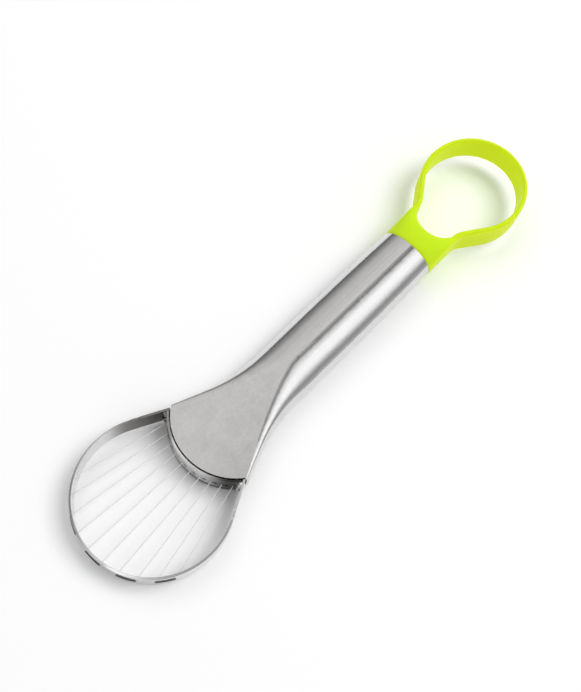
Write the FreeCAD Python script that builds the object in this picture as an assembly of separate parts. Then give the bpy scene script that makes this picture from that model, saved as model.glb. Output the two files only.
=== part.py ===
"""Avocado slicer: a hollow steel handle that flattens into a spade, a ground steel loop strung with
ten wire spans, and a moulded ring at the other end that lifts out the stone.

Lengths are millimetres. The model is laid out on stations measured along the handle from the centre
of the loop (+X towards the ring), with the middle of the thickness at Z = 0. When a piece is saved it
is moved so that the origin lies under the middle of the whole tool, at the lowest point of the tube.
"""
import FreeCAD, Part
import math
import os

V = FreeCAD.Vector
OUT = "parts"

# Loop: a strip of steel on edge, ground to a knife edge on its outside
loop_inner_r = 30.0
band_t = 0.9
band_h = 10.2
knife_flat = 0.12
bevel_drop = 0.6
bevel_run_in = -6.8
bevel_step_angle = 6.5
bevel_first_share = 0.4
nick_r = 0.35

# Handle: two stamped halves, welded along the middle
shell_t = 0.8
mouth_station = 29.8
mouth_half_w = 20.9
mouth_half_h = 6.0
mouth_flat_half = 19.2
mouth_arc_r = 25.0
flare_angle = 21.0
flare_blend_r = 70.0
flat_end_station = 76.0
flat_curve = 1.23
flat_least = 0.3
plate_end_station = 46.0
plate_skim = 0.015
plate_run_out = 6.0
tube_full_station = 84.0
tube_end_station = 149.7
tube_half_w = 12.9
tube_barrel = 0.45
tube_mid_station = 105.0
tube_barrel_span = 46.0
tube_half_h = 8.4
corner_fullness = 0.9
wall_fullness = 0.85
section_pitch = 5.0

# How the loop is held in the handle
band_gap = 0.45
tongue_len = 13.0
tongue_half_h = 3.1
tongue_gap = 0.3
dimple_r = 1.6
dimple_play = 0.03
dimple_pitch = 6.0
dimple_setback = 3.2

# Strip across the mouth that anchors the wires
strip_t = 0.8
strip_gap = 0.5
strip_half_h = 5.6
strip_end_play = 0.05
keyhole_r = 0.85
keyhole_shift = 1.5
keyhole_neck = 0.75
keyhole_cuts = 4
bead_r = 1.05
bead_height = 3.1

# Wires: five hairpins, two spans each
pairs = 5
wire_d = 0.4
wire_play = 0.12
loop_pitch_angle = 13.4
strip_pitch = 4.335
ferrule_d = 1.5
ferrule_len = 2.4
ferrule_play = 0.02
ferrule_seat = 0.06

# Moulded ring, its neck, and the plug inside the tube
ring_station = 195.4
ring_half_len = 25.7
ring_half_w = 23.6
ring_half_h = 6.3
ring_wall = 1.8
ring_edge_share = 0.42
arm_leaves_at = 125.5
arm_half_h = 6.7
arm_wall = 2.5
neck_bend_r = 8.0
neck_half_w = 12.1
neck_half_h = 6.4
neck_wall = 2.5
eye_end_station = 160.9
collar_proud = 0.12
collar_steps = 6
arm_root_len = 1.5
arm_root_step = 0.06
plug_len = 17.0
plug_wall = 1.6
plug_play = 0.12
crush_rib_play = 0.02
crush_rib_w = 1.2
crush_rib_y = 6.0
crush_rib_lead = 2.0

# Sizes that follow
loop_outer_r = loop_inner_r + band_t
wire_r = wire_d / 2
arc_centre = mouth_station + math.sqrt(mouth_arc_r**2 - mouth_half_w**2)
strip_inner_r = mouth_arc_r + strip_gap
strip_outer_r = strip_inner_r + strip_t
return_r = loop_outer_r + wire_r
front_reach = return_r + wire_r
back_reach = ring_station + ring_half_len
origin_shift = V(-(back_reach - front_reach) / 2, 0, tube_half_h + collar_proud)
flare_slope = math.tan(math.radians(flare_angle))
far = 4 * loop_outer_r


def save(name, shape):
    placed = shape.copy()
    placed.translate(origin_shift)
    placed.exportStep(os.path.join(OUT, name + ".step"))
    box = placed.BoundBox
    print(f"{name}: {len(placed.Solids)} solid, {placed.Volume:.1f} mm3, valid {placed.isValid()},"
          f" {box.XLength:.1f} x {box.YLength:.1f} x {box.ZLength:.1f}")


def smooth(u):
    """0 to 1 with level ends."""
    u = min(max(u, 0.0), 1.0)
    return u * u * (3 - 2 * u)


def barrel_half_w(s):
    """Half width of the tube itself, a little fuller in the middle of its length."""
    return tube_half_w - tube_barrel * ((s - tube_mid_station) / tube_barrel_span) ** 2


def flare_rise(reach):
    """How far the side has moved out, a distance `reach` in front of where the flare begins."""
    if reach <= 0:
        return 0.0
    arc_reach = flare_blend_r * math.sin(math.radians(flare_angle))
    if reach < arc_reach:
        return flare_blend_r - math.sqrt(flare_blend_r**2 - reach**2)
    arc_rise = flare_blend_r * (1 - math.cos(math.radians(flare_angle)))
    return arc_rise + (reach - arc_reach) * flare_slope


def flare_start():
    """The station where the flare begins, so that the mouth comes out at its stated width."""
    start = mouth_station
    for _ in range(60):
        short = mouth_half_w - barrel_half_w(mouth_station) - flare_rise(start - mouth_station)
        start += short
    return start


flare_station = flare_start()


def half_w(s):
    return barrel_half_w(s) + flare_rise(flare_station - s)


def half_h(s):
    rise = smooth((s - plate_end_station) / (tube_full_station - plate_end_station))
    return mouth_half_h + plate_skim + (tube_half_h - mouth_half_h - plate_skim) * rise


def along_flat(s):
    """0 at the mouth, 1 where the flat plate runs out into the round tube."""
    return (s - mouth_station) / (flat_end_station - mouth_station)


def flat_half(s):
    left = max(1 - along_flat(s), 0.0)
    return max(mouth_flat_half * left**flat_curve, flat_least)


ROUND = 0.5523


def fullness(s, at_mouth):
    """How square the shoulder is: a true quarter of an ellipse on the tube, fuller at the mouth."""
    return at_mouth + (ROUND - at_mouth) * smooth(along_flat(s))


def half_section(s, a, b, flat, full_y, full_z, skirt=0.0):
    """Upper half of a cross-section at station s, closed along z = -skirt."""
    def point(y, z):
        return V(s, y, z)

    def shoulder(side):
        curve = Part.BezierCurve()
        curve.setPoles([point(side * a, 0), point(side * a, full_z * b),
                        point(side * (flat + full_y * (a - flat)), b), point(side * flat, b)])
        return curve.toShape()

    def line(p, q):
        return Part.makeLine(p, q)

    edges = [shoulder(1), line(point(flat, b), point(-flat, b)), shoulder(-1)]
    if skirt:
        edges.append(line(point(-a, 0), point(-a, -skirt)))
    edges.append(line(point(-a, -skirt), point(a, -skirt)))
    if skirt:
        edges.append(line(point(a, -skirt), point(a, 0)))
    return Part.Wire(Part.__sortEdges__(edges))


def handle_section(s, inset, skirt=0.0):
    """Upper half of the handle's section, set in from the outside by `inset`."""
    a = half_w(s) - inset
    b = half_h(s) - inset
    flat = flat_half(s) * (half_h(s) - inset) / half_h(s)
    return half_section(s, a, b, flat, fullness(s, corner_fullness), fullness(s, wall_fullness), skirt)


def handle_loft(start, end, inset, skirt=0.0):
    count = max(2, math.ceil((end - start) / section_pitch))
    stations = [start + (end - start) * i / count for i in range(count + 1)]
    return Part.makeLoft([handle_section(s, inset, skirt) for s in stations], True, False)


def mirrored(shape):
    return shape.mirror(V(0, 0, 0), V(0, 0, 1))


def whole(upper_half):
    """A full section solid from its upper half."""
    return upper_half.fuse(mirrored(upper_half)).removeSplitter()


def drum(r, z_low, z_high, centre=0.0):
    """An upright cylinder on the handle's axis."""
    return Part.makeCylinder(r, z_high - z_low, V(centre, 0, z_low))


def make_handle_half():
    start = arc_centre - strip_outer_r - 2 * strip_t
    outside = handle_loft(start, tube_end_station, 0.0)
    inside = handle_loft(start - 1, tube_end_station + 1, shell_t, skirt=1.0)
    profile = [V(start - 1, -far / 2, mouth_half_h),
               V(plate_end_station - plate_run_out, -far / 2, mouth_half_h),
               V(plate_end_station, -far / 2, mouth_half_h + 3 * plate_skim),
               V(plate_end_station, -far / 2, far), V(start - 1, -far / 2, far)]
    above_plate = Part.Face(Part.makePolygon(profile + profile[:1])).extrude(V(0, far, 0))
    shell = outside.cut(above_plate).cut(inside)
    before_mouth = Part.makeBox(far, far, far, V(arc_centre - far, -far / 2, -far / 2))
    before_mouth = before_mouth.cut(drum(mouth_arc_r, -far, far, arc_centre))
    return shell.cut(before_mouth)


def wall_point(s, inset):
    """A point on the side wall's line, set in square to the wall."""
    slope = (half_w(s + 0.01) - half_w(s - 0.01)) / 0.02
    length = math.hypot(1, slope)
    return V(s + inset * slope / length, half_w(s) - inset / length, 0), V(1 / length, slope / length, 0)


def band_path():
    """Outer face of the loop seen from above, as the points of one side and the angle it leaves at."""
    corner, along = wall_point(mouth_station, shell_t + band_gap)
    reach = math.hypot(corner.x, corner.y)
    leaves = math.atan2(corner.y, corner.x) + math.acos(loop_outer_r / reach)
    tip = corner + along * tongue_len
    return corner, tip, along, leaves


def on_circle(r, angle, z=0.0):
    return V(r * math.cos(angle), r * math.sin(angle), z)


def inward(point, direction):
    """The matching point on the band's inner face, for a run that points away from the loop."""
    return point + V(direction.y, -direction.x, 0) * band_t


def flipped(point):
    return V(point.x, -point.y, point.z)


def make_band():
    corner, tip, along, leaves = band_path()
    start = on_circle(loop_outer_r, leaves)
    arm = (corner - start).normalize()
    turn = (arm + along).normalize()
    inner_corner = corner + V(turn.y, -turn.x, 0) * (band_t / turn.dot(arm))
    outer = [start, corner, tip]
    inner = [inward(tip, along), inner_corner, on_circle(loop_inner_r, leaves)]
    side = outer + inner
    edges = [Part.makeLine(p, q) for p, q in zip(side[:-1], side[1:])]
    edges += [Part.makeLine(flipped(p), flipped(q)) for p, q in zip(side[:-1], side[1:])]
    for r in (loop_outer_r, loop_inner_r):
        edges.append(Part.Arc(on_circle(r, leaves), V(-r, 0, 0), on_circle(r, -leaves)).toShape())
    face = Part.Face(Part.Wire(Part.__sortEdges__(edges)))
    face.translate(V(0, 0, -band_h / 2))
    band = face.extrude(V(0, 0, band_h))

    inside_handle = drum(mouth_arc_r + tongue_gap, -far, far, arc_centre)
    slab = Part.makeBox(far, far, 2 * tongue_half_h, V(0, -far / 2, -tongue_half_h))
    band = band.cut(inside_handle.cut(slab))

    top = band_h / 2
    lead = leaves + math.radians(bevel_run_in)
    full = lead + math.radians(bevel_step_angle)
    for first, depth in ((lead, bevel_first_share), (full, 1.0)):
        band = band.cut(bevel_tool(first, top, depth))
        for angle in (first, -first):
            nick = Part.makeCylinder(nick_r, 2 * band_t, on_circle(loop_inner_r - band_t / 2, angle, top),
                                     on_circle(1, angle))
            band = band.cut(nick)
    for n in range(2 * pairs):
        band = band.cut(wire_hole(n))
    for side_sign in (1, -1):
        for k in range(2):
            band = band.fuse(dimple(corner + along * (dimple_setback + k * dimple_pitch), along, side_sign))
    return band.removeSplitter()


def bevel_tool(first, top, depth):
    """The wedge that grinding takes off the outside, from one end angle round to the other."""
    run = (band_t - knife_flat) * depth
    drop = bevel_drop * depth
    points = [V(loop_outer_r - run, 0, top), V(loop_outer_r, 0, top - drop),
              V(loop_outer_r + band_t, 0, top - drop), V(loop_outer_r + band_t, 0, top + 1),
              V(loop_outer_r - run, 0, top + 1)]
    wedge = Part.Face(Part.makePolygon(points + points[:1]))
    wedge.rotate(V(0, 0, 0), V(0, 0, 1), math.degrees(first))
    return wedge.revolve(V(0, 0, 0), V(0, 0, 1), 360 - 2 * math.degrees(first))


def dimple(place, along, side_sign):
    """A raised dimple on the tongue, which touches the side wall and is welded to it."""
    height = band_gap - dimple_play
    ball_r = (dimple_r**2 + height**2) / (2 * height)
    outward = V(-along.y, along.x, 0)
    ball = Part.makeSphere(ball_r, place + outward * (height - ball_r))
    keep = Part.makeCylinder(dimple_r * 1.5, height + band_t / 2, place - outward * (band_t / 2), outward)
    cap = ball.common(keep)
    return cap if side_sign > 0 else cap.mirror(V(0, 0, 0), V(0, 1, 0))


def loop_angle(n):
    """Angle of span n's hole round the loop, counted from one side to the other."""
    return math.pi - math.radians(loop_pitch_angle * (pairs - 0.5 - n))


def strip_angle(n):
    return strip_pitch * (pairs - 0.5 - n) / strip_inner_r


def on_strip(r, angle, z=0.0):
    """A point on a circle of the strip's arc, which is centred inside the handle."""
    return V(arc_centre - r * math.cos(angle), r * math.sin(angle), z)


def span_ends(n):
    """Where span n turns outside the loop, and its direction and seat behind the strip."""
    turn = on_circle(return_r, loop_angle(n))
    gate = on_strip(strip_inner_r, strip_angle(n))
    along = (gate - turn).normalize()
    return turn, gate, along


def wire_hole(n):
    turn, gate, along = span_ends(n)
    return Part.makeCylinder(wire_r + wire_play, 4 * band_t, turn - along * band_t, along)


def ferrule_start(n):
    """The ferrule's front face, clear of the curved strip behind which it sits."""
    turn, gate, along = span_ends(n)
    radial = (V(arc_centre, 0, 0) - gate).normalize()
    tilt = math.acos(min(1.0, radial.dot(along)))
    clear = ferrule_seat + ferrule_d / 2 * math.tan(tilt) + ferrule_d**2 / (8 * strip_inner_r)
    return gate + along * clear, along


def make_wire(pair):
    shape = None
    angles = []
    for n in (2 * pair, 2 * pair + 1):
        turn, gate, along = span_ends(n)
        seat, _ = ferrule_start(n)
        end = seat + along * ferrule_len
        span = Part.makeCylinder(wire_r, (end - turn).Length, turn, along)
        piece = span.fuse(Part.makeSphere(wire_r, turn))
        shape = piece if shape is None else shape.fuse(piece)
        angles.append(math.degrees(loop_angle(n)))
    ring = Part.makeTorus(return_r, wire_r, V(0, 0, 0), V(0, 0, 1), -180, 180, angles[1] - angles[0])
    ring.rotate(V(0, 0, 0), V(0, 0, 1), angles[0])
    return shape.fuse(ring).removeSplitter()


def make_ferrule(n):
    seat, along = ferrule_start(n)
    tube = Part.makeCylinder(ferrule_d / 2, ferrule_len, seat, along)
    return tube.cut(Part.makeCylinder(wire_r + ferrule_play, ferrule_len, seat, along))


def strip_end_angle():
    """Where the strip's inner corner meets the loop's inner face, found by stepping out."""
    corner, tip, along, leaves = band_path()
    start = on_circle(loop_inner_r, leaves)
    arm = (corner - on_circle(loop_outer_r, leaves)).normalize()
    outward = V(-arm.y, arm.x, 0)
    angle = strip_angle(0)
    for _ in range(40):
        room = -(on_strip(strip_outer_r, angle) - start).dot(outward) - strip_end_play
        angle += room / strip_outer_r
    return angle


def make_strip():
    end = strip_end_angle()
    ring = drum(strip_outer_r, -strip_half_h, strip_half_h, arc_centre)
    ring = ring.cut(drum(strip_inner_r, -strip_half_h, strip_half_h, arc_centre))
    centre = V(arc_centre, 0, -far / 2)
    rays = [centre, on_strip(far, end, -far / 2), on_strip(2 * far, 0, -far / 2),
            on_strip(far, -end, -far / 2), centre]
    sector = Part.Face(Part.makePolygon(rays)).extrude(V(0, 0, far))
    strip = ring.common(sector)
    for n in range(2 * pairs):
        strip = strip.cut(keyhole(n))
    return strip


def keyhole(n):
    """A round hole that the crimped end passes, with a neck that then holds the wire."""
    shift = keyhole_shift / strip_outer_r
    wide = strip_angle(n) - shift
    hole = radial_pin(wide, keyhole_r)
    neck_end = radial_pin(strip_angle(n), keyhole_neck / 2)
    steps = []
    for k in range(1, keyhole_cuts):
        steps.append(radial_pin(strip_angle(n) - shift * k / keyhole_cuts, keyhole_neck / 2))
    return hole.multiFuse([neck_end] + steps)


def radial_pin(angle, r):
    start = on_strip(strip_inner_r - strip_t, angle)
    return Part.makeCylinder(r, 3 * strip_t, start, on_strip(1, angle) - V(arc_centre, 0, 0))


def make_weld_beads():
    """Four beads in the corners between the strip's ends and the loop."""
    end = strip_end_angle()
    strip_zone = drum(strip_outer_r + strip_end_play, -far, far, arc_centre)
    corner, tip, along, leaves = band_path()
    start = on_circle(loop_inner_r, leaves)
    arm = (corner - on_circle(loop_outer_r, leaves)).normalize()
    outward = V(-arm.y, arm.x, 0)
    beyond = Part.makeBox(far, far, far, V(-far / 2, 0, -far / 2))
    beyond.rotate(V(0, 0, 0), V(0, 0, 1), math.degrees(math.atan2(arm.y, arm.x)))
    beyond.translate(start - outward * strip_end_play)
    beads = []
    for z in (bead_height, -bead_height):
        ball = Part.makeSphere(bead_r, on_strip(strip_outer_r, end, z))
        bead = ball.cut(strip_zone).cut(beyond)
        beads += [bead, bead.mirror(V(0, 0, 0), V(0, 1, 0))]
    return Part.makeCompound(beads)


def arm_line():
    """Outer face in plan where it leaves the oval, where its straight meets the bend, and the neck."""
    angle = math.radians(arm_leaves_at)
    leave = V(ring_station + ring_half_len * math.cos(angle), ring_half_w * math.sin(angle), 0)
    slope = math.atan2(-ring_half_w * math.cos(angle), ring_half_len * math.sin(angle))
    rise = neck_bend_r * (1 - math.cos(slope))
    bend = V(leave.x - (leave.y - neck_half_w - rise) / math.tan(slope), neck_half_w + rise, 0)
    foot = V(bend.x - neck_bend_r * math.sin(slope), neck_half_w, 0)
    middle = foot + V(math.sin(slope / 2), 1 - math.cos(slope / 2), 0) * neck_bend_r
    return leave, bend, middle, foot


def oval_edge(angle):
    """The oval from one arm round to the other, with its longer axis either along or across."""
    centre = V(ring_station, 0, 0)
    ahead = V(ring_half_len, 0, 0)
    side = V(0, ring_half_w, 0)
    if ring_half_len >= ring_half_w:
        return Part.Ellipse(centre + ahead, centre + side, centre).toShape(-angle, angle)
    quarter = math.pi / 2
    return Part.Ellipse(centre + side, centre - ahead, centre).toShape(-angle - quarter, angle - quarter)


def prism(edges, z):
    face = Part.Face(Part.Wire(Part.__sortEdges__(edges)))
    face.translate(V(0, 0, -z))
    return face.extrude(V(0, 0, 2 * z))


def band_section(place, heading, wall, half_height):
    """A strip on edge with rounded edges, inside the outer face and square to it, for the sweep."""
    across = wall / 2
    r = ring_edge_share * wall
    side = V(-heading.y, heading.x, 0)

    def point(u, z):
        return place + side * (u - across) + V(0, 0, z)

    corners = [(1, 1), (-1, 1), (-1, -1), (1, -1)]
    edges = []
    for k, (u, w) in enumerate(corners):
        centre = point(u * (across - r), w * (half_height - r))
        start = centre + (side * u if k % 2 == 0 else V(0, 0, w)) * r
        end = centre + (V(0, 0, w) if k % 2 == 0 else side * u) * r
        middle = centre + (side * u + V(0, 0, w)).normalize() * r
        edges.append(Part.Arc(start, middle, end).toShape())
        v, x = corners[(k + 1) % 4]
        following = point(v * (across - r), x * (half_height - r))
        following += (V(0, 0, x) if k % 2 == 0 else side * v) * r
        edges.append(Part.makeLine(end, following))
    return Part.Wire(edges)


def make_ring():
    leave, bend, middle, foot = arm_line()
    root = foot - V(arm_root_len, 0, 0)
    angle = math.radians(arm_leaves_at)
    edges = [oval_edge(angle)]
    for side in (list, lambda points: [flipped(p) for p in points]):
        a, b, c, d, e = side([root, foot, middle, bend, leave])
        edges += [Part.makeLine(a, b), Part.Arc(b, c, d).toShape(), Part.makeLine(d, e)]
    path = Part.Wire(Part.__sortEdges__(edges))

    forward = V(1, 0, 0)
    outward = (leave - bend).normalize()
    stops = [(root, forward, neck_wall, neck_half_h),
             (leave, outward, arm_wall, arm_half_h),
             (V(back_reach, 0, 0), V(0, -1, 0), ring_wall, ring_half_h),
             (flipped(leave), V(-outward.x, outward.y, 0), arm_wall, arm_half_h),
             (flipped(root), -forward, neck_wall, neck_half_h)]
    sweep = Part.BRepOffsetAPI.MakePipeShell(path)
    for stop in stops:
        sweep.add(band_section(*stop), False, False)
    sweep.build()
    sweep.makeSolid()
    band = sweep.shape()

    body = collar_block(foot.x).cut(eye_end_tool(foot)).fuse(band)

    plug_start = tube_end_station - plug_len
    sleeve = whole(handle_loft(plug_start, tube_end_station + plug_wall, shell_t + plug_play))
    hollow = whole(handle_loft(plug_start - 1, tube_end_station, shell_t + plug_play + plug_wall))
    body = body.fuse(sleeve.cut(hollow))
    for rib in crush_ribs(plug_start):
        body = body.fuse(rib)
    return body.removeSplitter()


def eye_end_tool(foot):
    """The rounded end of the eye, which scoops out the neck between the two arms."""
    side = V(foot.x, neck_half_w - neck_wall + arm_root_step, 0)
    ahead = V(ring_station, side.y, 0)
    edges = [Part.Arc(side, V(eye_end_station, 0, 0), flipped(side)).toShape(),
             Part.makeLine(side, ahead), Part.makeLine(ahead, flipped(ahead)),
             Part.makeLine(flipped(ahead), flipped(side))]
    return prism(edges, far)


def collar_section(s, share):
    """Upper half of the neck's section, from the tube's oval to the square shape of the two arms."""
    a = half_w(tube_end_station) + collar_proud
    b = half_h(tube_end_station) + collar_proud
    r = ring_edge_share * neck_wall
    a += (neck_half_w + arm_root_step - a) * share
    b += (neck_half_h + arm_root_step - b) * share
    upright = flat_least + (neck_half_h - r - flat_least) * share
    flat = flat_least + (neck_half_w - r - flat_least) * share

    def point(y, z):
        return V(s, y, z)

    def shoulder(side):
        curve = Part.BezierCurve()
        curve.setPoles([point(side * a, upright), point(side * a, upright + ROUND * (b - upright)),
                        point(side * (flat + ROUND * (a - flat)), b), point(side * flat, b)])
        return curve.toShape()

    corners = [point(-flat, b), point(flat, b), point(a, upright), point(a, 0),
               point(-a, 0), point(-a, upright)]
    edges = [Part.makeLine(corners[k], corners[k + 1]) for k in (0, 2, 3, 4)]
    edges += [shoulder(1), shoulder(-1)]
    return Part.Wire(Part.__sortEdges__(edges))


def collar_block(neck_station):
    """The neck: flush with the tube where it starts, and as high as the arms where they leave it."""
    sections = []
    for k in range(collar_steps + 1):
        share = k / collar_steps
        s = tube_end_station + (neck_station - tube_end_station) * share
        sections.append(collar_section(s, smooth(share)))
    return whole(Part.makeLoft(sections, True, False))


def crush_ribs(plug_start):
    """Four ribs along the plug that stop just short of the tube's wall."""
    fit = whole(handle_loft(plug_start + crush_rib_lead, tube_end_station - crush_rib_lead,
                            shell_t + crush_rib_play))
    core = whole(handle_loft(plug_start, tube_end_station, shell_t + plug_play + plug_wall / 2))
    ribs = []
    for y in (-crush_rib_y, crush_rib_y):
        slab = Part.makeBox(plug_len, crush_rib_w, far, V(plug_start, y - crush_rib_w / 2, -far / 2))
        ribs.append(slab.common(fit).cut(core))
    return ribs


os.makedirs(OUT, exist_ok=True)
upper_shell = make_handle_half()
save("handle_upper_shell", upper_shell)
save("handle_lower_shell", mirrored(upper_shell))
save("cutting_loop", make_band())
save("wire_anchor_strip", make_strip())
save("strip_weld_beads", make_weld_beads())
for pair in range(pairs):
    save(f"wire_pair_{pair + 1}", make_wire(pair))
for n in range(2 * pairs):
    save(f"wire_ferrule_{n + 1:02d}", make_ferrule(n))
save("stone_ring", make_ring())
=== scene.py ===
# %% [markdown]
# Avocado slicer, dressed for a photograph. Its metal and plastic pieces come in at their true size as a
# fixed frame. This lesson gives them their finish, models the pieces that want softer or rougher forms
# than a frame gives (the moulded ring, the welds, the crimps), and sets the tool on a pale table.
# Lengths are metres. The tool lies along X: the cutting loop is towards -X, the moulded ring towards +X,
# and the lowest line of the handle's tube is at Z = 0.

import math

import bpy
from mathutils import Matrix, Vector


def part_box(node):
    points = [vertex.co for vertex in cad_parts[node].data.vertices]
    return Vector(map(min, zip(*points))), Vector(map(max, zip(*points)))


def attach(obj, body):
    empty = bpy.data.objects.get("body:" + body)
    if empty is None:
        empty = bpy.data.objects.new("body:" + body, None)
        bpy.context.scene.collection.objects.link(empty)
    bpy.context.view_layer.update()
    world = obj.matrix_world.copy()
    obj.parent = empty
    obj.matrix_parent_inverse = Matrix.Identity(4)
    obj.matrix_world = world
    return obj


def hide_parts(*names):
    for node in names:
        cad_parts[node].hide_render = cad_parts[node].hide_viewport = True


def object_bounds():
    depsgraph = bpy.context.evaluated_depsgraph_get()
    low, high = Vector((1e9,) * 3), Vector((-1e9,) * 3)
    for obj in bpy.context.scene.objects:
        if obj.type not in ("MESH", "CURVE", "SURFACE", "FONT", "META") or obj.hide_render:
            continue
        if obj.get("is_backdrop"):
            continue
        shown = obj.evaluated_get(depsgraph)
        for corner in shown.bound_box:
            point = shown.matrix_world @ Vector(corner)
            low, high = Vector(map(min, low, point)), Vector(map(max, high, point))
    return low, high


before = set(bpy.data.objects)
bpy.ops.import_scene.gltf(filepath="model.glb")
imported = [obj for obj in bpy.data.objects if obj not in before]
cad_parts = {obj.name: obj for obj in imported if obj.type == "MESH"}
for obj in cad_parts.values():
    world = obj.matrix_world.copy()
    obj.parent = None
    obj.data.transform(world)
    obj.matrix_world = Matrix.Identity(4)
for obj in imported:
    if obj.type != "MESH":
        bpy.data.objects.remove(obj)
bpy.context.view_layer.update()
MM = 0.001

# %% [markdown]
# A few places are used again and again below. The loop is a circle, so patterns that follow it need its
# centre and its radius. The mouth is where the strip crosses the handle, the wires lie in the plane at
# the middle of the loop's height, and the table meets the lowest line of the tube. They are read from the
# frame rather than typed, so that the lesson still holds when the frame's sizes change.

# %% Places on the tool
loop_low, loop_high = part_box("cutting_loop")
LOOP_R = (loop_high.y - loop_low.y) / 2
LOOP_X = loop_low.x + LOOP_R
MID_Z = (loop_low.z + loop_high.z) / 2
EDGE_Z = loop_high.z
strip_low, strip_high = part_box("wire_anchor_strip")
MOUTH_X = (strip_low.x + strip_high.x) / 2
TUBE_LOW_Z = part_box("handle_lower_shell")[0].z
print("loop radius", round(LOOP_R / MM, 2), "mm, its centre at X", round(LOOP_X / MM, 2), "mm")

# %% [markdown]
# A finish is a web of shader nodes. Written one node at a time it is long and hard to read, so a small
# class wraps a node's output: sums and products of such outputs add the Math nodes by themselves, and
# one method adds any other node, with its settings first and its sockets after. A socket is found by its
# name, or by its number where several of a node's sockets share a name, as on the Mix node.


# %% Shader arithmetic
class Signal:
    """One output of a node. Arithmetic on it adds Math nodes."""

    def __init__(self, recipe, socket):
        self.recipe = recipe
        self.socket = socket

    def math(self, operation, *values):
        sockets = dict(enumerate((self, *values)))
        return self.recipe.node("ShaderNodeMath", {"operation": operation}, sockets)

    def __add__(self, other):
        return self.math("ADD", other)

    def __sub__(self, other):
        return self.math("SUBTRACT", other)

    def __mul__(self, other):
        return self.math("MULTIPLY", other)

    def __truediv__(self, other):
        return self.math("DIVIDE", other)

    def __rsub__(self, other):
        return (self * -1.0) + other

    __radd__ = __add__
    __rmul__ = __mul__

    def between(self, low, high):
        """0 at low, 1 at high, and a soft step from one to the other."""
        settings = {"interpolation_type": "SMOOTHSTEP"}
        return self.recipe.node("ShaderNodeMapRange", settings,
                                {"Value": self, "From Min": low, "From Max": high})


class Recipe:
    """The node tree of one material or world."""

    def __init__(self, tree):
        self.tree = tree
        tree.nodes.clear()

    def node(self, kind, settings=None, sockets=None, out=0):
        made = self.tree.nodes.new(kind)
        for name, value in (settings or {}).items():
            if name == "stops":
                self.set_stops(made.color_ramp, value)
            else:
                setattr(made, name, value)
        for name, value in (sockets or {}).items():
            if isinstance(value, Signal):
                self.tree.links.new(value.socket, made.inputs[name])
            else:
                made.inputs[name].default_value = value
        return Signal(self, made.outputs[out]) if made.outputs else None

    def set_stops(self, ramp, stops):
        while len(ramp.elements) < len(stops):
            ramp.elements.new(1.0)
        for element, (place, colour) in zip(ramp.elements, stops):
            element.position = place
            element.color = (*colour, 1.0)

    def place(self, scale=(1.0, 1.0, 1.0)):
        """Object coordinates, stretched for a pattern."""
        raw = self.node("ShaderNodeTexCoord", out="Object")
        return self.node("ShaderNodeMapping", {}, {"Vector": raw, "Scale": scale})

    def axes(self, out="Object"):
        """X, Y and Z of the place on the piece, or with "Normal" of the way that its face points."""
        raw = self.node("ShaderNodeTexCoord", out=out)
        split = self.node("ShaderNodeSeparateXYZ", {}, {"Vector": raw})
        return [Signal(self, split.socket.node.outputs[k]) for k in range(3)]

    def rays(self):
        """1 where the camera looks, where a mirror looks, and where light passes through."""
        path = self.node("ShaderNodeLightPath").socket.node
        return [Signal(self, path.outputs[name])
                for name in ("Is Camera Ray", "Is Glossy Ray", "Is Transmission Ray")]

    def noise(self, place, size, detail=3.0, roughness=0.55):
        """Soft noise whose lumps are about `size` metres across, from 0 to 1."""
        sockets = {"Vector": place, "Scale": 1.0 / size, "Detail": detail, "Roughness": roughness}
        return self.node("ShaderNodeTexNoise", {}, sockets)

    def mix(self, share, first, second):
        """The first colour where the share is 0, the second where it is 1."""
        return self.node("ShaderNodeMix", {"data_type": "RGBA"}, {0: share, 6: first, 7: second}, 2)

    def bump(self, height, strength, depth):
        return self.node("ShaderNodeBump", {},
                         {"Height": height, "Strength": strength, "Distance": depth})


def new_material(name):
    material = bpy.data.materials.new(name)
    material.use_nodes = True
    return material, Recipe(material.node_tree)


def surface(recipe, sockets):
    """A Principled surface with these sockets, joined to the output."""
    shader = recipe.node("ShaderNodeBsdfPrincipled", {}, sockets)
    recipe.node("ShaderNodeOutputMaterial", {}, {"Surface": shader})


def print_size(material):
    print(material.name, "has", len(material.node_tree.nodes), "nodes")


def grey(value, warmth=0.0):
    """A grey, turned a little towards brown by its warmth."""
    return (value * (1 + warmth), value, value * (1 - warmth), 1.0)


print("shader arithmetic ready")

# %% [markdown]
# The handle is stamped stainless sheet, brushed along its length after the two halves were welded.
# Brushing shows as long thin streaks: they vary the roughness, so that a reflection frays along its
# edges, and they are cut about a hundredth of a millimetre deep. A noise stretched more than fifty times
# along X makes them, and a broader one of the same kind varies the tone. The flat plate of the spade was
# pressed and then rubbed flat, so it is cloudier: rounder noises join in towards the mouth, and change
# the tone and the roughness there.


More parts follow.
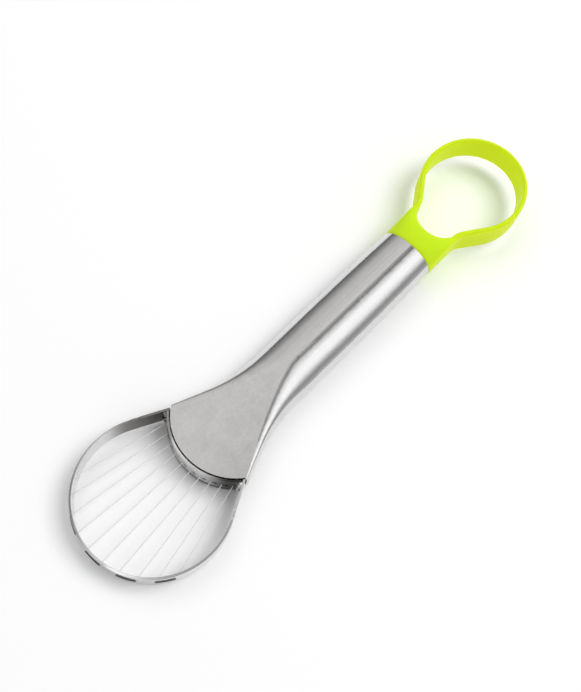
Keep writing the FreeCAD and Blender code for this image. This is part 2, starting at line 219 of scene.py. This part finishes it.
# %% Brushed steel of the handle
def handle_steel():
    material, recipe = new_material("handle_steel_brushed")
    x, _, z = recipe.axes()
    streaks = recipe.noise(recipe.place((0.012, 1.0, 1.0)), 0.35 * MM, 4.0, 0.6)
    broad_streaks = recipe.noise(recipe.place((0.02, 1.0, 1.0)), 1.6 * MM, 2.0)
    clouds = recipe.noise(recipe.place(), 7.0 * MM, 5.0, 0.62)
    mottle = recipe.noise(recipe.place((0.6, 1.0, 1.0)), 0.8 * MM, 3.0)
    plate = x.between(-20 * MM, -35 * MM) * (z - MID_Z).math("ABSOLUTE").between(4 * MM, 5.5 * MM)
    roughness = (streaks - 0.5) * 0.10 + (clouds - 0.5) * 0.05 + plate * 0.04 + 0.13
    tone = (clouds - 0.5) * (plate * 0.5 + 0.3) + (mottle - 0.5) * plate * 0.4 + 0.5
    tone = tone + (broad_streaks - 0.5) * (0.4 - plate * 0.25)
    colour = recipe.mix(tone.between(0.1, 0.9), grey(0.60), grey(0.76))
    height = streaks + mottle * 0.4
    surface(recipe, {"Base Color": colour, "Metallic": 1.0, "Roughness": roughness,
                     "Normal": recipe.bump(height, 0.25, 0.012 * MM)})
    return material


handle_finish = handle_steel()
print_size(handle_finish)

# %% [markdown]
# The loop gets painted shade in a few places. The ten wire spans stand at even angles round its centre.
# Each wire turns back outside the loop between the spans of a pair, and the dark line there is a painted
# shadow of that return. Each hole has a small ring of painted shade. Near the mouth the arms' inner
# faces are painted dark, as the shade that they mirror from under the spade, and the left arm is painted
# dark all round there. Each of these is a mask, which is 1 where the painted shade lies. The wires'
# masks are found by polar coordinates: the distance from the loop's centre and the angle round it.

# %% Painted shade on the loop
SPANS = 10
PITCH = math.radians(13.4)


def distance_from_centre(x, y):
    """How far a place is from the loop's centre."""
    across = x - LOOP_X
    return (across * across + y * y).math("SQRT")


def angle_from_front(x, y):
    """The angle round the loop's centre, 0 at the loop's front and the same on both sides."""
    return math.pi - y.math("ARCTAN2", x - LOOP_X).math("ABSOLUTE")


def wire_shade_masks(x, y, z):
    """Masks of the painted shadows of the wires' returns, and of the painted shade round their holes."""
    from_front = angle_from_front(x, y)
    in_fan = from_front.between((SPANS / 2 + 0.1) * PITCH, SPANS / 2 * PITCH)
    in_pair = (from_front * (math.pi / PITCH)).math("COSINE").between(-0.15, 0.1)
    at_hole = (from_front * (2 * math.pi / PITCH)).math("COSINE").between(-0.88, -0.95)
    outer_skin = distance_from_centre(x, y).between(LOOP_R - 0.3 * MM, LOOP_R - 0.1 * MM)
    off_wires = (z - MID_Z).math("ABSOLUTE")
    # painted shadow where each wire turns back outside the loop
    wire_return_shadow = in_pair * in_fan * off_wires.between(0.7 * MM, 0.3 * MM) * outer_skin
    # painted shade round each hole
    hole_shade = at_hole * in_fan * off_wires.between(0.7 * MM, 0.4 * MM)
    return wire_return_shadow, hole_shade


def mouth_shade_masks(recipe, x, y):
    """Masks of the painted shade on the arms' inner faces, and of the painted shade on the left arm."""
    facing_out = recipe.axes("Normal")[1] * y.math("SIGN")
    # painted shade on the arms' inner faces near the mouth
    inner_face_shade = x.between(MOUTH_X - 18 * MM, MOUTH_X - 6 * MM) * facing_out.between(-0.4, -0.7)
    # painted shade on the left arm near the mouth
    left_arm_shade = x.between(MOUTH_X - 20 * MM, MOUTH_X - 8 * MM) * y.between(10 * MM, 12 * MM)
    return inner_face_shade, left_arm_shade


print("marks for", SPANS, "spans,", round(math.degrees(PITCH), 1), "degrees apart")

# %% [markdown]
# The loop was rolled from bright strip and then ground on its outside, from above, until a knife edge
# was left. Grinding runs across the edge, so the scratches on the bevel point away from the loop's
# centre, while rolling left softer lines along the strip. The angle times the loop's radius stands for
# the length along the strip, so the same kind of noise, stretched one way or the other, makes both. The
# bevel's tone and the painted shade are then laid over the strip's own tone one by one.


# %% Ground steel of the loop
def loop_steel():
    material, recipe = new_material("loop_steel_ground")
    x, y, z = recipe.axes()
    radius = distance_from_centre(x, y)
    along = angle_from_front(x, y) * LOOP_R
    polar = recipe.node("ShaderNodeCombineXYZ", {}, {"X": along, "Y": radius * 0.05, "Z": z * 0.05})
    scratches = recipe.noise(polar, 0.12 * MM, 3.0, 0.65)
    stretched = recipe.node("ShaderNodeCombineXYZ", {}, {"X": along * 0.03, "Y": radius, "Z": z})
    rolled = recipe.noise(stretched, 0.3 * MM, 3.0)
    clouds = recipe.noise(recipe.place(), 5.0 * MM, 3.0)
    outside = radius.between(LOOP_R - 0.8 * MM, LOOP_R - 0.6 * MM)
    bevel = outside * z.between(EDGE_Z - 0.8 * MM, EDGE_Z - 0.6 * MM)
    wire_return_shadow, hole_shade = wire_shade_masks(x, y, z)
    inner_face_shade, left_arm_shade = mouth_shade_masks(recipe, x, y)
    tone = recipe.mix(clouds, grey(0.71), grey(0.80))
    tone = recipe.mix(bevel * (scratches * 0.5 + 0.4), tone, grey(0.76))
    # painted shadow of the wires' returns, then painted shade round the holes
    tone = recipe.mix(wire_return_shadow * 0.9, tone, grey(0.05))
    tone = recipe.mix(hole_shade * 0.9, tone, grey(0.05))
    # painted shade near the mouth, on the arms' inner faces and on the left arm
    tone = recipe.mix(inner_face_shade * 0.9, tone, grey(0.08, 0.06))
    tone = recipe.mix(left_arm_shade * 0.8, tone, grey(0.12, 0.06))
    roughness = (rolled - 0.5) * 0.12 + (scratches - 0.5) * bevel * 0.2 + bevel * 0.02 + 0.2
    surface(recipe, {"Base Color": tone, "Metallic": 1.0, "Roughness": roughness,
                     "Normal": recipe.bump(scratches * bevel + rolled * 0.5, 0.2, 0.01 * MM)})
    return material


loop_finish = loop_steel()
print_size(loop_finish)

# %% [markdown]
# The strip that anchors the wires is the same steel, left as it came from the press, with fine marks
# along its length. Towards both ends it is painted nearly black with a brown cast, as painted shade, and
# a dark line of painted shade runs along its lower edge. Its upper edge has a painted highlight from the
# middle to the left, dimmer beside the left arm.


# %% Dull steel of the strip
def strip_steel():
    material, recipe = new_material("strip_steel_dull")
    _, y, z = recipe.axes()
    marks = recipe.noise(recipe.place((1.0, 0.06, 0.4)), 0.25 * MM, 3.0)
    clouds = recipe.noise(recipe.place(), 3.0 * MM, 3.0)
    shaded_ends = y.math("ABSOLUTE").between(6 * MM, 16 * MM)
    shaded_rim = z.between(MID_Z - 3.2 * MM, MID_Z - 4.2 * MM)
    highlit_top = z.between(strip_high.z - 0.06 * MM, strip_high.z - 0.02 * MM) * y.between(-6 * MM, 3 * MM)
    top_highlight = recipe.mix(y.between(8 * MM, 13 * MM), grey(0.92), grey(0.42))
    tone = recipe.mix(clouds, grey(0.68), grey(0.80))
    # painted shade: both ends nearly black with a brown cast
    tone = recipe.mix(shaded_ends * 0.97, tone, grey(0.03, 0.06))
    # painted shade along the lower edge
    tone = recipe.mix(shaded_rim * 0.9, tone, grey(0.05))
    # painted highlight along the top edge, dimmer towards the left arm
    tone = recipe.mix(highlit_top * 0.9, tone, top_highlight)
    roughness = (marks - 0.5) * 0.16 + clouds * 0.08 + 0.26
    surface(recipe, {"Base Color": tone, "Metallic": 1.0, "Roughness": roughness,
                     "Normal": recipe.bump(marks, 0.25, 0.01 * MM)})
    return material


strip_finish = strip_steel()
print_size(strip_finish)

# %% [markdown]
# The wires are drawn stainless, so fine that they look pale on the white table, whatever they mirror. A
# finish that is only half metal gives that. Where a wire turns back outside the loop, that length is
# painted dark as shade. The crimps take the same steel, a little duller.


# %% Drawn steel of the wires
def wire_steel(name, bright, dull):
    material, recipe = new_material(name)
    x, y, _ = recipe.axes()
    draw = recipe.noise(recipe.place((0.05, 1.0, 1.0)), 0.12 * MM, 2.0)
    outside = distance_from_centre(x, y).between(LOOP_R + 0.02 * MM, LOOP_R + 0.1 * MM)
    shaded_return = outside * x.between(MOUTH_X, MOUTH_X - 5 * MM)
    tone = recipe.mix(draw, grey(dull), grey(bright))
    # painted shade on the wires' returns outside the loop
    tone = recipe.mix(shaded_return * 0.95, tone, grey(0.06))
    roughness = (draw - 0.5) * 0.12 + 0.34
    surface(recipe, {"Base Color": tone, "Metallic": 0.55 - shaded_return * 0.1, "Roughness": roughness})
    return material


wire_finish = wire_steel("wire_steel_drawn", 0.92, 0.82)
crimp_finish = wire_steel("crimp_steel_dull", 0.66, 0.52)
print_size(wire_finish)
print_size(crimp_finish)

# %% [markdown]
# The ring is one moulded piece of lime plastic. It lets some light through, which is why its inner wall
# glows instead of going dark: subsurface scattering a few millimetres deep does that. Faces that stand
# upright are given a paler colour as painted glow, and the rounded rim of the far end a deeper one as
# painted shade, so the way that a face points changes the colour. A mould leaves a fine satin grain, and
# slow clouds keep such a plain colour from looking painted on.


# %% Lime plastic of the ring
def ring_plastic():
    material, recipe = new_material("ring_plastic_lime")
    x = recipe.axes()[0]
    clouds = recipe.noise(recipe.place(), 14.0 * MM, 2.0)
    grain = recipe.noise(recipe.place(), 0.25 * MM, 2.0)
    level = recipe.axes("Normal")[2].math("ABSOLUTE")
    painted_wall_glow = level.between(0.75, 0.25)
    shaded_rim = level.between(0.3, 0.6) * x.between(68 * MM, 80 * MM)
    colour = recipe.mix(clouds, (0.57, 0.80, 0.012, 1.0), (0.61, 0.83, 0.018, 1.0))
    # painted glow on the upright walls
    colour = recipe.mix(painted_wall_glow, colour, (0.72, 0.93, 0.012, 1.0))
    # painted shade on the rim of the far end
    colour = recipe.mix(shaded_rim, colour, (0.56, 0.76, 0.012, 1.0))
    roughness = (grain - 0.5) * 0.08 + (clouds - 0.5) * 0.05 + 0.52
    surface(recipe, {"Base Color": colour, "Roughness": roughness, "Specular IOR Level": 0.2,
                     "Subsurface Weight": 1.0, "Subsurface Scale": 5.0 * MM,
                     "Subsurface Radius": (1.0, 1.0, 0.35),
                     "Normal": recipe.bump(grain, 0.08, 0.01 * MM)})
    return material


ring_finish = ring_plastic()
print_size(ring_finish)

# %% [markdown]
# The frame's pieces are named for what they are, so the first words of a name tell which finish a piece
# takes. Only the finishes change: the frame's shapes stay where and as they are.

# %% Finishes onto the frame
by_piece = {"handle": handle_finish, "cutting": loop_finish, "wire_anchor": strip_finish,
            "strip": strip_finish, "wire_pair": wire_finish, "wire_ferrule": crimp_finish,
            "stone": ring_finish}
for name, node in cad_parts.items():
    finish = next(found for start, found in by_piece.items() if name.startswith(start))
    for material_slot in node.material_slots:
        material_slot.material = finish
    print(name, "gets", finish.name)

# %% [markdown]
# Some pieces start as a copy of the frame's solid and are then reshaped: that keeps them where they
# belong. A copy comes as loose triangles, so its corners are merged and its faces turned outwards first.
# A voxel remesh then rebuilds it as an even skin, which smoothing can round like a moulding or a weld.


# %% Working copies
def pick(thing):
    bpy.ops.object.select_all(action="DESELECT")
    thing.select_set(True)
    bpy.context.view_layer.objects.active = thing


def working_copy(node_name, new_name):
    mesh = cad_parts[node_name].data.copy()
    piece = bpy.data.objects.new(new_name, mesh)
    bpy.context.scene.collection.objects.link(piece)
    pick(piece)
    bpy.ops.object.mode_set(mode="EDIT")
    bpy.ops.mesh.select_all(action="SELECT")
    bpy.ops.mesh.remove_doubles(threshold=0.004 * MM)
    bpy.ops.mesh.normals_make_consistent(inside=False)
    bpy.ops.object.mode_set(mode="OBJECT")
    return piece


def modify(piece, kind, **settings):
    """Adds a modifier, sets it and applies it."""
    pick(piece)
    bpy.ops.object.modifier_add(type=kind)
    modifier = piece.modifiers[-1]
    for name, value in settings.items():
        setattr(modifier, name, value)
    bpy.ops.object.modifier_apply(modifier=modifier.name)


def hand_over(piece, slot_name, *nodes):
    """The piece rides with the tool and stands for these nodes of the frame."""
    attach(piece, "root")
    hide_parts(*nodes)
    print(piece.name, "has", len(piece.data.polygons), "faces and stands for", *nodes)


print("ready to copy and reshape")

# %% [markdown]
# The ring leaves its mould with every edge rounded, and its arms melt into the neck in a soft saddle.
# The frame has the right sizes but crisp joins. Voxels of half a millimetre keep its 1.8 mm wall, and
# fourteen rounds of smoothing draw the rims and the saddle into curves.

# %% Moulded ring
ring = working_copy("stone_ring", "stone_ring_moulded")
modify(ring, "REMESH", mode="VOXEL", voxel_size=0.5 * MM, use_smooth_shade=True)
modify(ring, "SMOOTH", factor=0.5, iterations=14)
hand_over(ring, "ring_plastic", "stone_ring")

# %% [markdown]
# Four small welds tie the ends of the strip into the corners of the mouth. A weld is a frozen drop: the
# remeshed copy is swollen unevenly by a cloud texture and smoothed, so that no two of them match. The
# two on the right are bright, and those on the left are painted dark as shade, like the arm that they
# hold.

# %% Weld beads
drops = bpy.data.textures.new("weld_drops", "CLOUDS")
drops.noise_scale = 0.9 * MM
drops.noise_depth = 1
beads = working_copy("strip_weld_beads", "strip_weld_beads_cast")
modify(beads, "REMESH", mode="VOXEL", voxel_size=0.12 * MM, use_smooth_shade=True)
modify(beads, "DISPLACE", texture=drops, texture_coords="LOCAL", strength=1.9 * MM, mid_level=0.08)
modify(beads, "SMOOTH", factor=0.5, iterations=3)


def bead_steel():
    material, recipe = new_material("bead_steel_cast")
    pits = recipe.noise(recipe.place(), 0.3 * MM, 3.0)
    heat = recipe.noise(recipe.place(), 1.2 * MM, 2.0)
    y = recipe.axes()[1]
    tone = recipe.mix(heat.between(0.55, 0.8), grey(0.96), grey(0.35, 0.05))
    # painted shade on the welds at the left
    tone = recipe.mix(y.between(0.0, 5 * MM) * 0.8, tone, grey(0.12, 0.06))
    surface(recipe, {"Base Color": tone, "Metallic": 0.35, "Roughness": (pits - 0.5) * 0.2 + 0.3,
                     "Normal": recipe.bump(pits, 0.3, 0.03 * MM)})
    return material


beads.data.materials.clear()
beads.data.materials.append(bead_steel())
hand_over(beads, "blade_steel", "strip_weld_beads")

# %% [markdown]
# Behind the strip each wire ends in a crimp: a short tube that was slipped over the wire and squeezed
# twice. One is modelled from a ring of edges that is extruded and resized along its length, up the
# outside with two pinched waists and back through the bore. The jaws squeeze from two sides, so the
# waists are narrower one way than the other. Each step of the outline is a height as a share of the
# length, a radius as a share of the outer one, and how far the squeeze narrows it. One half is written
# down, and the other mirrors it.

# %% One crimp
CRIMP_R, CRIMP_LEN, BORE_R = 0.75 * MM, 2.4 * MM, 0.22 * MM
CRIMP_SIDES = 28
upper_half = [(0.06, 0.96, 0.96), (0.12, 0.84, 0.70), (0.24, 0.86, 0.78),
              (0.30, 0.98, 1.0), (0.46, 0.96, 1.0), (0.50, 0.80, 1.0)]
lower_half = [(-height, share, squeeze) for height, share, squeeze in reversed(upper_half)]
bore = [(0.5, BORE_R / CRIMP_R, 1.0), (-0.5, BORE_R / CRIMP_R, 1.0)]
bpy.ops.object.select_all(action="DESELECT")
bpy.ops.mesh.primitive_circle_add(vertices=CRIMP_SIDES, radius=BORE_R, location=(0, 0, 0))
crimp = bpy.context.object
crimp.name = "wire_crimp"
bpy.ops.object.mode_set(mode="EDIT")
bpy.ops.mesh.select_all(action="SELECT")
bpy.ops.transform.translate(value=(0, 0, -CRIMP_LEN / 2))
wide, tall, level = BORE_R, BORE_R, -0.5
for height, share, squeeze in lower_half + upper_half + bore:
    bpy.ops.mesh.extrude_edges_move()
    bpy.ops.transform.translate(value=(0, 0, (height - level) * CRIMP_LEN))
    middle = (0, 0, height * CRIMP_LEN)
    bpy.ops.transform.resize(value=(CRIMP_R * share / wide, CRIMP_R * share * squeeze / tall, 1),
                             center_override=middle)
    wide, tall, level = CRIMP_R * share, CRIMP_R * share * squeeze, height
bpy.ops.mesh.select_all(action="SELECT")
bpy.ops.mesh.remove_doubles(threshold=0.002 * MM)
bpy.ops.mesh.normals_make_consistent(inside=False)
bpy.ops.object.mode_set(mode="OBJECT")
bpy.ops.object.shade_smooth()
crimp.data.materials.append(crimp_finish)
print("one crimp:", len(crimp.data.polygons), "faces")

# %% [markdown]
# Each crimp lies along its own wire. The spans fan out, so a crimp's direction is the line from its
# wire's hole in the loop to the middle of the frame's ferrule. Nobody lines the jaws up from one crimp to
# the next, so each is turned about its wire by another 0.7 radians.

# %% Ten crimps
CRIMP_TURN = 0.7
for count in range(SPANS):
    node_name = f"wire_ferrule_{count + 1:02d}"
    low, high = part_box(node_name)
    centre = (low + high) / 2
    around = math.pi - PITCH * ((SPANS - 1) / 2 - count)
    hole = Vector((LOOP_X + LOOP_R * math.cos(around), LOOP_R * math.sin(around), MID_Z))
    run = centre - hole
    piece = crimp if count == SPANS - 1 else crimp.copy()
    if piece is not crimp:
        piece.data = crimp.data.copy()
        bpy.context.scene.collection.objects.link(piece)
    piece.name = f"wire_crimp_{count + 1:02d}"
    pick(piece)
    piece.rotation_euler = (count * CRIMP_TURN, math.pi / 2, math.atan2(run.y, run.x))
    piece.location = centre
    bpy.ops.object.transform_apply(location=True, rotation=True, scale=True)
    hand_over(piece, "wire_steel", node_name)

# %% [markdown]
# The tool lies on white paper. Its tube reaches lower than its loop, so a level table would leave the
# loop in the air, and its shadow would be wide. A tight shadow wants the loop on the paper, so the paper
# is laid under two places, the tube's front end and the loop's front edge, and falls by a degree or two.
# The light that bounces off it meets a pale grey that wanders a little, as paper does, while the camera
# and the mirrors see it plain white.

# %% Table
TABLE_SIZE = 6.0
TUBE_FRONT_X = -11 * MM
tilt = math.atan2(loop_low.z - TUBE_LOW_Z, TUBE_FRONT_X - loop_low.x)


def table_paper():
    material, recipe = new_material("table_paper")
    paper = recipe.noise(recipe.place(), 30 * MM, 2.0)
    colour = recipe.mix(paper, grey(0.84), grey(0.88))
    camera, glossy, clear = recipe.rays()
    colour = recipe.mix(camera.math("MAXIMUM", glossy).math("MAXIMUM", clear), colour, grey(1.0))
    surface(recipe, {"Base Color": colour, "Roughness": 1.0, "Specular IOR Level": 0.0})
    return material


bpy.ops.object.select_all(action="DESELECT")
bpy.ops.mesh.primitive_plane_add(size=TABLE_SIZE, location=(TUBE_FRONT_X, 0, TUBE_LOW_Z),
                                 rotation=(0, tilt, 0))
table = bpy.context.object
table.name = "table"
table.data.materials.append(table_paper())
table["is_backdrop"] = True
print("the paper falls by", round(math.degrees(tilt), 2), "degrees towards the ring")

# %% [markdown]
# Steel shows nothing but its surroundings, so the room is the finish's other half. A studio has a large
# soft lamp, dark gaps beside it and pale walls. Along a straight tube only the angle across it counts:
# the room is painted in bands by that angle, from the ground on one side, over the top, to the other.
# Each band is an angle in degrees and a tone, and those of one side are a little warm. They are stops on
# a colour ramp, which reaches 100 degrees either way. Only mirrored light sees the bands. Diffuse light
# gets an even grey, and the camera sees white.

# %% Room
BANDS = [(-88, 0.62), (-76, 0.42), (-62, 0.38), (-52, 0.68), (-42, 1.18), (-34, 1.38), (-18, 1.36),
         (-9, 1.08), (-3, 0.78), (1, 0.22), (4, 0.18), (7, 0.68), (9, 0.80), (20, 0.78), (52, 0.60),
         (66, 0.36), (80, 0.18), (90, 0.18)]
REACH = 100
WARM_FROM, WARM_TO, WARMTH = 4, 62, 0.012
DIFFUSE_LIGHT = 0.48


def band_stop(angle, tone):
    """The place of a band on the ramp, and its colour."""
    warmth = WARMTH if WARM_FROM <= angle <= WARM_TO else 0.0
    return (angle + REACH) / (2 * REACH), grey(tone, warmth)[:3]


def room():
    world = bpy.data.worlds.new("room")
    bpy.context.scene.world = world
    world.use_nodes = True
    recipe = Recipe(world.node_tree)
    _, y, z = recipe.axes("Generated")
    degrees = y.math("ARCTAN2", z) * (180 / math.pi)
    stops = [band_stop(angle, tone) for angle, tone in BANDS]
    bands = recipe.node("ShaderNodeValToRGB", {"stops": stops}, {"Fac": (degrees + REACH) / (2 * REACH)})
    camera, glossy, clear = recipe.rays()
    light = recipe.mix(glossy, grey(DIFFUSE_LIGHT), bands)
    seen = recipe.mix(camera.math("MAXIMUM", clear), light, (1, 1, 1, 1))
    shader = recipe.node("ShaderNodeBackground", {}, {"Color": seen, "Strength": 1.0})
    recipe.node("ShaderNodeOutputWorld", {}, {"Surface": shader})


room()
print("room painted in", len(BANDS), "bands")

# %% [markdown]
# Two large softboxes stand beyond the ring's end. The stronger one is to the right as the camera sees
# it, so most shadows are soft and fall to the left. The weaker one is at the top of the picture, and
# leaves a faint shadow below the tool. Both are hidden from mirrored rays, which have the bands instead.
# Each has a name, the way that it stands from the tool, and its power in watts.

# %% Softboxes
LAMP_DISTANCE = 2.4
LAMP_SIZE = 1.5
LAMPS = [("softbox_right", Vector((0.43, -0.33, 0.84)), 30.5),
         ("softbox_left", Vector((0.20, 0.50, 0.84)), 9.5)]
for name, direction, power in LAMPS:
    direction.normalize()
    bpy.ops.object.light_add(type="AREA", location=direction * LAMP_DISTANCE)
    softbox = bpy.context.object
    softbox.name = name
    softbox.data.shape = "RECTANGLE"
    softbox.data.size = LAMP_SIZE
    softbox.data.size_y = LAMP_SIZE
    softbox.data.energy = power
    softbox.rotation_euler = direction.to_track_quat("Z", "Y").to_euler()
    softbox.visible_glossy = False
    print(name, LAMP_SIZE, "m wide,", power, "W")

# %% [markdown]
# The camera looks down at the tool almost squarely, from the loop's side, with the lens of a portrait.

# %% Camera
camera_data = bpy.data.cameras.new("camera")
camera = bpy.data.objects.new("camera", camera_data)
bpy.context.scene.collection.objects.link(camera)
camera_data.sensor_fit = "HORIZONTAL"
camera_data.sensor_width = 36.0
camera_data.lens = 59.23
camera_data.clip_start = 0.01
camera.location = (-0.1508, -0.0697, 0.3640)
camera.rotation_euler = (0.4041, -0.1073, -0.8247)
bpy.context.scene.camera = camera
bpy.context.scene.view_settings.view_transform = "Standard"
print("camera ready")

# %% [markdown]
# Last, the size of the dressed tool is measured and printed.

# %% Finish
low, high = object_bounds()
print("dressed size in mm:", [round(v / MM, 1) for v in high - low])
